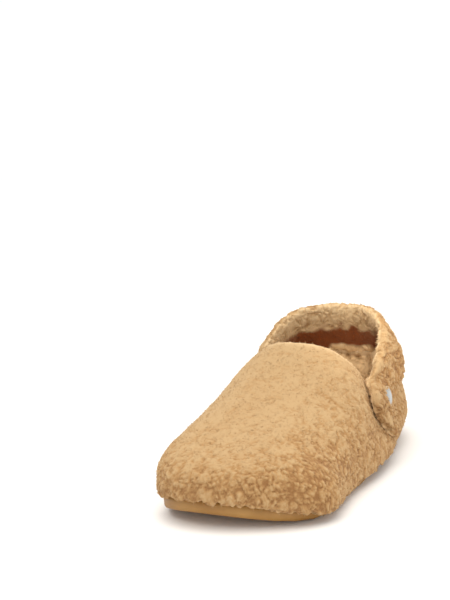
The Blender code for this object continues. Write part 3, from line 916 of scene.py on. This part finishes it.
def dress_surface(obj: bpy.types.Object, curls: Curls, form: Form) -> None:
    """Raises curls over a fine mesh, and stores each vertex's depth in the pile, which the material
    paints as shade, with its masks of painted shade and painted light.

    Args:
        obj: a piece with a fine mesh.
        curls: the curls' sizes.
        form: what else the piece does.
    """
    mesh = obj.data
    points, normals = rows_of(mesh, "co"), rows_of(mesh, "normal")
    clumped, lining = form.clumped(points, normals), form.lining(points, normals)
    clumped = clumped * (1 - PAINTED_SHADE_SMOOTHS * lining)
    depths = np.array([curls.depth(Vector(p), c) for p, c in zip(points, clumped)])
    lumps = np.array([curls.lump(Vector(p)) for p in points])
    share = curls.calm + (1 - curls.calm) * clumped
    rise = (curls.crown - depths) * share * curls.height_mm + lumps * curls.lump_height_mm
    moved = points + normals * rise[:, None] * MILLIMETRE + form.swell(points, normals)
    mesh.vertices.foreach_set("co", moved.ravel())
    mesh.update()
    # Painted shade: crevice floors get darker pile values, fully in clumped fleece and partly in brushed
    # fleece.
    shade = curls.shade + (1 - curls.shade) * clumped
    store(mesh, "pile", np.clip(1 - depths * shade, 0.0, 1.0))
    store(mesh, "lining", lining)
    store(mesh, "pale", form.pale(points, normals))


@dataclass
class Pile:
    """Loose fibre locks that stand in the fleece and break its outline.

    Args:
        count: how many locks.
        length_mm: a lock's length.
        lengths: the shortest and the longest, as shares of it.
        width_mm: a lock's width at its root, as wide as shows in the picture.
        taper: how much of that width is gone at its tip.
        root_mm: how deep its root stands in the fleece.
        turn: how far it curls sideways, at most, in radians.
        lean: how far the locks lean over, 0 upright and 1 flat.
        lean_spread: how much that differs from lock to lock.
        fall: pull of the ground on them.
        tip_shade: how much lighter a tip is than its root.
        own_shade: how much the locks differ in lightness.
        seed: start of the random draws.
        segments: how many straight pieces make a lock.
    """

    count: int
    length_mm: float = 2.4
    lengths: tuple[float, float] = (0.55, 1.15)
    width_mm: float = 0.5
    taper: float = 0.75
    root_mm: float = 0.5
    turn: float = 2.4
    lean: float = 1.05
    lean_spread: float = 0.18
    fall: float = 0.25
    tip_shade: float = 0.12
    own_shade: float = 0.06
    seed: int = 3
    segments: int = 3

    def grow(self, base: bpy.types.Object, name: str) -> bpy.types.Object:
        """Grows curled ribbons on a piece's surface.

        Args:
            base: the piece that carries the locks.
            name: the new object's name.

        Returns:
            The locks, as one mesh.
        """
        mesh = base.data
        mesh.calc_loop_triangles()
        triangles = np.empty(len(mesh.loop_triangles) * 3, np.int64)
        mesh.loop_triangles.foreach_get("vertices", triangles)
        triangles = triangles.reshape(-1, 3)
        corners, normals = rows_of(mesh, "co")[triangles], rows_of(mesh, "normal")
        area = np.linalg.norm(
            np.cross(corners[:, 1] - corners[:, 0], corners[:, 2] - corners[:, 0]), axis=1
        )
        draw = np.random.default_rng(self.seed)
        chosen = draw.choice(len(triangles), self.count, p=area / area.sum())
        weights = draw.dirichlet((1.0, 1.0, 1.0), self.count)
        roots = (corners[chosen] * weights[:, :, None]).sum(1)
        up = (normals[triangles[chosen]] * weights[:, :, None]).sum(1)
        up /= np.linalg.norm(up, axis=1, keepdims=True)
        side = np.cross(up, draw.normal(size=(self.count, 3)))
        side /= np.linalg.norm(side, axis=1, keepdims=True)
        across = np.cross(up, side)
        length = self.length_mm * MILLIMETRE * draw.uniform(*self.lengths, self.count)
        turn = draw.uniform(-1.0, 1.0, self.count) * self.turn
        lean = np.clip(self.lean + draw.normal(0, self.lean_spread, self.count), 0.0, 1.1)
        verts, values = [], []
        spot = roots - up * self.root_mm * MILLIMETRE
        steps = self.segments
        for k in range(steps + 1):
            part = k / steps
            width = self.width_mm * MILLIMETRE * (1 - self.taper * part) / 2
            verts += [spot + across * width, spot - across * width]
            values += [np.full(self.count, part)] * 2
            angle = (lean * (0.4 + part) * 1.1)[:, None]
            way = up * np.cos(angle) + side * np.sin(angle)
            way[:, 2] -= self.fall * part
            way /= np.linalg.norm(way, axis=1, keepdims=True)
            spot = spot + way * (length / steps)[:, None]
            swing = (turn / steps)[:, None]
            side, across = (
                side * np.cos(swing) + across * np.sin(swing),
                across * np.cos(swing) - side * np.sin(swing),
            )
        rows = np.stack(verts, 1).reshape(-1, 3)
        depth = np.stack(values, 1).reshape(-1)
        stride = 2 * (steps + 1)
        offsets = np.arange(self.count)[:, None] * stride
        faces = [offsets + 2 * k + np.array([0, 1, 3, 2]) for k in range(steps)]
        quads = np.stack(faces, 1).reshape(-1, 4)
        ribbon = bpy.data.meshes.new(name)
        ribbon.from_pydata(rows.tolist(), [], quads.tolist())
        ribbon.update()
        # Each lock starts from the fleece's pile value under it, with its painted shade, plus a random
        # tone, and is lighter towards its tip; it also carries the painted light and painted shade
        # masks.
        own = values_of(mesh, "pile")[triangles[chosen]].mean(1)
        own = own + draw.normal(0, self.own_shade, self.count)
        shade = self.tip_shade * depth + np.repeat(own, stride)
        store(ribbon, "pile", np.clip(shade - 0.05, 0, 1))
        for layer in ("lining", "pale"):
            here = values_of(mesh, layer)[triangles[chosen]].mean(1)
            store(ribbon, layer, np.repeat(here, stride))
        return placed(name, ribbon)


@dataclass
class FleecePiece:
    """A fleece sub-part: a fine shell with curls, and the pile that stands on it.

    Args:
        node_name: the CAD node that it replaces.
        name: its own name.
        voxel_mm: size of its first even mesh.
        curls: its curls.
        pile: its fibre locks.
        form: what else it does.
        rounds: how often the even mesh is smoothed.
        fine_rounds: how often the halved one is.
    """

    node_name: str
    name: str
    voxel_mm: float
    curls: Curls
    pile: Pile
    form: Form = field(default_factory=Form)
    rounds: int = 3
    fine_rounds: int = 2

    def refine(self, obj: bpy.types.Object) -> None:
        """Halves the mesh where the form says that it is seen.

        Args:
            obj: an object with an even mesh.
        """
        bm = bmesh.new()
        bm.from_mesh(obj.data)
        bm.normal_update()
        centres = np.array([face.calc_center_median() for face in bm.faces])
        normals = np.array([face.normal for face in bm.faces])
        seen = self.form.outside(centres, normals)
        edges = {edge for face, fine in zip(bm.faces, seen) if fine for edge in face.edges}
        edges = sorted(edges, key=lambda edge: edge.index)
        bmesh.ops.subdivide_edges(bm, edges=edges, cuts=1, use_grid_fill=True)
        bmesh.ops.triangulate(bm, faces=[face for face in bm.faces if len(face.verts) > 4])
        bm.to_mesh(obj.data)
        bm.free()

    def build(self, frame: dict, cloth: bpy.types.Material) -> None:
        """Builds and dresses the shell and its pile, and rides them on the shoe.

        Args:
            cloth: the fleece's material.
        """
        shell = copy_of(frame["nodes"][self.node_name], self.name)
        remesh = shell.modifiers.new("fine", "REMESH")
        remesh.mode = "VOXEL"
        remesh.voxel_size = self.voxel_mm * MILLIMETRE
        apply_modifiers(shell)
        relax(shell, self.rounds)
        self.refine(shell)
        relax(shell, self.fine_rounds)
        dress_surface(shell, self.curls, self.form)
        coat = self.pile.grow(shell, self.name + "_pile")
        for piece in (shell, coat):
            piece.data.shade_smooth()
            finish_as(piece, cloth)
            faces = sum(len(face.vertices) - 2 for face in piece.data.polygons)
            LOG.info("%s: %d triangles", piece.name, faces)
        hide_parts(self.node_name)


@dataclass
class Outsole:
    """The moulded cup under the shoe.

    Args:
        crease_degrees: angle over which an edge stays sharp.
        follows_fleece: share of the outer front's swelling that its edge follows.
    """

    crease_degrees: float = 48.0
    follows_fleece: float = 0.6

    def build(self, frame: dict, rubber: bpy.types.Material) -> None:
        """Gives the outsole its rubber, and carries its edge under the swollen fleece.

        Args:
            rubber: its material.
        """
        sole = copy_of(frame["nodes"]["outsole"], "outsole_rubber")
        points = rows_of(sole.data, "co")
        points += OUTER_FRONT.moves(points) * self.follows_fleece
        sole.data.vertices.foreach_set("co", points.ravel())
        sole.data.update()
        sole.data.shade_smooth()
        sole.data.set_sharp_from_angle(angle=math.radians(self.crease_degrees))
        finish_as(sole, rubber)
        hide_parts("outsole")
        LOG.info("outsole: %d faces", len(sole.data.polygons))


@dataclass
class Rivets:
    """The two strap rivets and their discs.

    Args:
        sides: the outer side and the inner side, as the CAD nodes name them.
        crease_degrees: angle over which an edge stays sharp.
    """

    sides: tuple[str, ...] = ("lateral", "medial")
    crease_degrees: float = 40.0

    def build(self, frame: dict, ring: bpy.types.Material, disc: bpy.types.Material) -> None:
        """Dresses the rivets and discs in smooth plastic.

        Args:
            ring: the rivets' material.
            disc: the discs' material.
        """
        for side in self.sides:
            for kind, material in (("rivet", ring), ("disc", disc)):
                name = f"{kind}_{side}"
                piece = copy_of(frame["nodes"][name], name + "_moulded")
                piece.data.shade_smooth()
                piece.data.set_sharp_from_angle(angle=math.radians(self.crease_degrees))
                finish_as(piece, material)
                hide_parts(name)
                LOG.info("%s dressed", name)


@dataclass
class Studio:
    """Pale floor, soft overhead light and the camera at the photograph's angle.

    Args:
        azimuth: the camera's turn from the toe's front towards the outer side, in degrees.
        elevation: its height over the level, in degrees.
        roll: its roll, in degrees.
        distance: how far it is from what it aims at, in metres.
        focal_px: its focal length in pixels of the photograph.
        aim_x: sideways place that it aims at.
        aim_z: height that it aims at.
        frame_height_px: the photograph's height.
        floor_size: side of the floor, in metres.
        sun_spread: apparent size of the two soft suns, in degrees.
        fill_cone: width of the beam into the heel, in degrees.
    """

    azimuth: float = 30.0
    elevation: float = 10.0
    roll: float = -4.679
    distance: float = 0.8683
    focal_px: float = 1159.9
    aim_x: float = -0.0529
    aim_z: float = 0.1274
    frame_height_px: float = 600.0
    floor_size: float = 6.0
    sun_spread: float = 70.0
    fill_cone: float = 12.0

    def floor(self) -> None:
        """Lays the pale floor."""
        bpy.ops.mesh.primitive_plane_add(size=self.floor_size)
        floor = bpy.context.object
        floor.name = "studio_floor"
        paper = started("pale_floor", {"Base Color": linear("F7F6F4"), "Roughness": 0.9})[0]
        floor.data.materials.append(paper)

    def lamp(
        self, name: str, kind: str, place: Vector, power: float, colour: str, aim: Vector = Vector()
    ) -> bpy.types.Light:
        """Adds a light that shines from one place towards another.

        Args:
            name: the light's name.
            kind: Blender's name for its kind.
            place: where it stands.
            power: its strength.
            colour: its hex colour.
            aim: what it shines on.

        Returns:
            The light, for what only its kind has.
        """
        light = bpy.data.lights.new(name, kind)
        light.energy = power
        light.color = linear(colour)[:3]
        made = placed(name, light)
        made.location = place
        made.rotation_euler = (place - aim).to_track_quat("Z", "Y").to_euler()
        return light

    def light(self) -> None:
        """Lights the shoe softly from above, from the outer side and into its heel."""
        world = bpy.data.worlds.new("studio")
        world.use_nodes = True
        tree = world.node_tree
        back = tree.nodes["Background"]
        back.inputs["Color"].default_value = linear("F6FAFF")
        place = node(tree, "ShaderNodeTexCoord").outputs["Generated"]
        height = node(tree, "ShaderNodeSeparateXYZ", links={0: place}).outputs["Z"]
        strength = node(
            tree,
            "ShaderNodeMapRange",
            values={"From Min": 0.10, "From Max": 0.32, "To Min": 1.1, "To Max": 0.64},
            links={"Value": height},
        )
        tree.links.new(strength.outputs["Result"], back.inputs["Strength"])
        bpy.context.scene.world = world
        bpy.context.scene.view_settings.view_transform = "Standard"
        suns = (("overhead", (-0.04, -0.06, 1), 2.75), ("side", (1, -0.20, 0.5), 0.75))
        for name, place, power in suns:
            sun = self.lamp(name, "SUN", Vector(place), power, "FFFAF2")
            sun.angle = math.radians(self.sun_spread)
        place, heel = Vector((0.23, -0.27, 0.30)), Vector((0.004, 0.105, 0.060))
        fill = self.lamp("heel_fill", "SPOT", place, 7.0, "FFF6E8", aim=heel)
        fill.spot_size = math.radians(self.fill_cone)
        fill.spot_blend = 1.0
        fill.shadow_soft_size = 0.03

    def camera(self) -> None:
        """Places the camera as the photograph was taken."""
        lens = bpy.data.cameras.new("camera")
        made = placed("camera", lens)
        azimuth, elevation = math.radians(self.azimuth), math.radians(self.elevation)
        level = math.cos(elevation)
        away = Vector((math.sin(azimuth) * level, -math.cos(azimuth) * level, math.sin(elevation)))
        aim = Vector((self.aim_x, 0, self.aim_z))
        made.location = aim + away * self.distance
        made.rotation_euler = away.to_track_quat("Z", "Y").to_euler()
        made.rotation_euler.rotate_axis("Z", math.radians(self.roll))
        lens.sensor_width = 36.0
        lens.lens = lens.sensor_width * self.focal_px / self.frame_height_px
        lens.clip_start = 0.02
        bpy.context.scene.camera = made

    def build(self) -> None:
        """Sets up floor, lights and camera."""
        self.floor()
        self.light()
        self.camera()


def build_slipper(frame: dict) -> None:
    """Builds every piece of the shoe in order.
    """
    fleece = Fleece("curly_fleece").material()
    # The footbed's root, middle and tip colours paint shade by crevice depth, as on the upper.
    short_fleece = Fleece("footbed_pile", root="7E542A", middle="A17C50", tip="B4966F").material()
    Outsole().build(frame, MouldedRubber().material())
    FleecePiece(
        "insole",
        "footbed_fleece",
        voxel_mm=2.2,
        curls=Curls(across_mm=3.6, height_mm=0.9, lump_height_mm=0.2),
        pile=Pile(9000, length_mm=2.0, seed=7),
    ).build(frame, short_fleece)
    FleecePiece(
        "upper",
        "upper_fleece",
        voxel_mm=1.86,
        curls=Curls(),
        pile=Pile(20000, seed=3),
        form=UpperForm(),
    ).build(frame, fleece)
    FleecePiece(
        "strap",
        "strap_fleece",
        voxel_mm=1.5,
        curls=Curls(across_mm=4.8, height_mm=2.1, lump_mm=14.0, lump_height_mm=1.1),
        pile=Pile(9000, length_mm=2.8, seed=5),
        form=StrapForm(),
    ).build(frame, fleece)
    ring = MouldedPlastic("rivet_nylon", "B89A72", 0.42).material()
    disc = MouldedPlastic("pearl_disc", "9EA0A0", 0.32, coat=0.25).material()
    Rivets().build(frame, ring, disc)


def main() -> None:
    """Loads the frame and builds the scene round it."""
    logging.basicConfig(level=logging.INFO, format="%(name)s: %(message)s")
    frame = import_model()
    build_slipper(frame)
    Studio().build()
    LOG.info("sizes written")


if __name__ == "__main__":
    main()
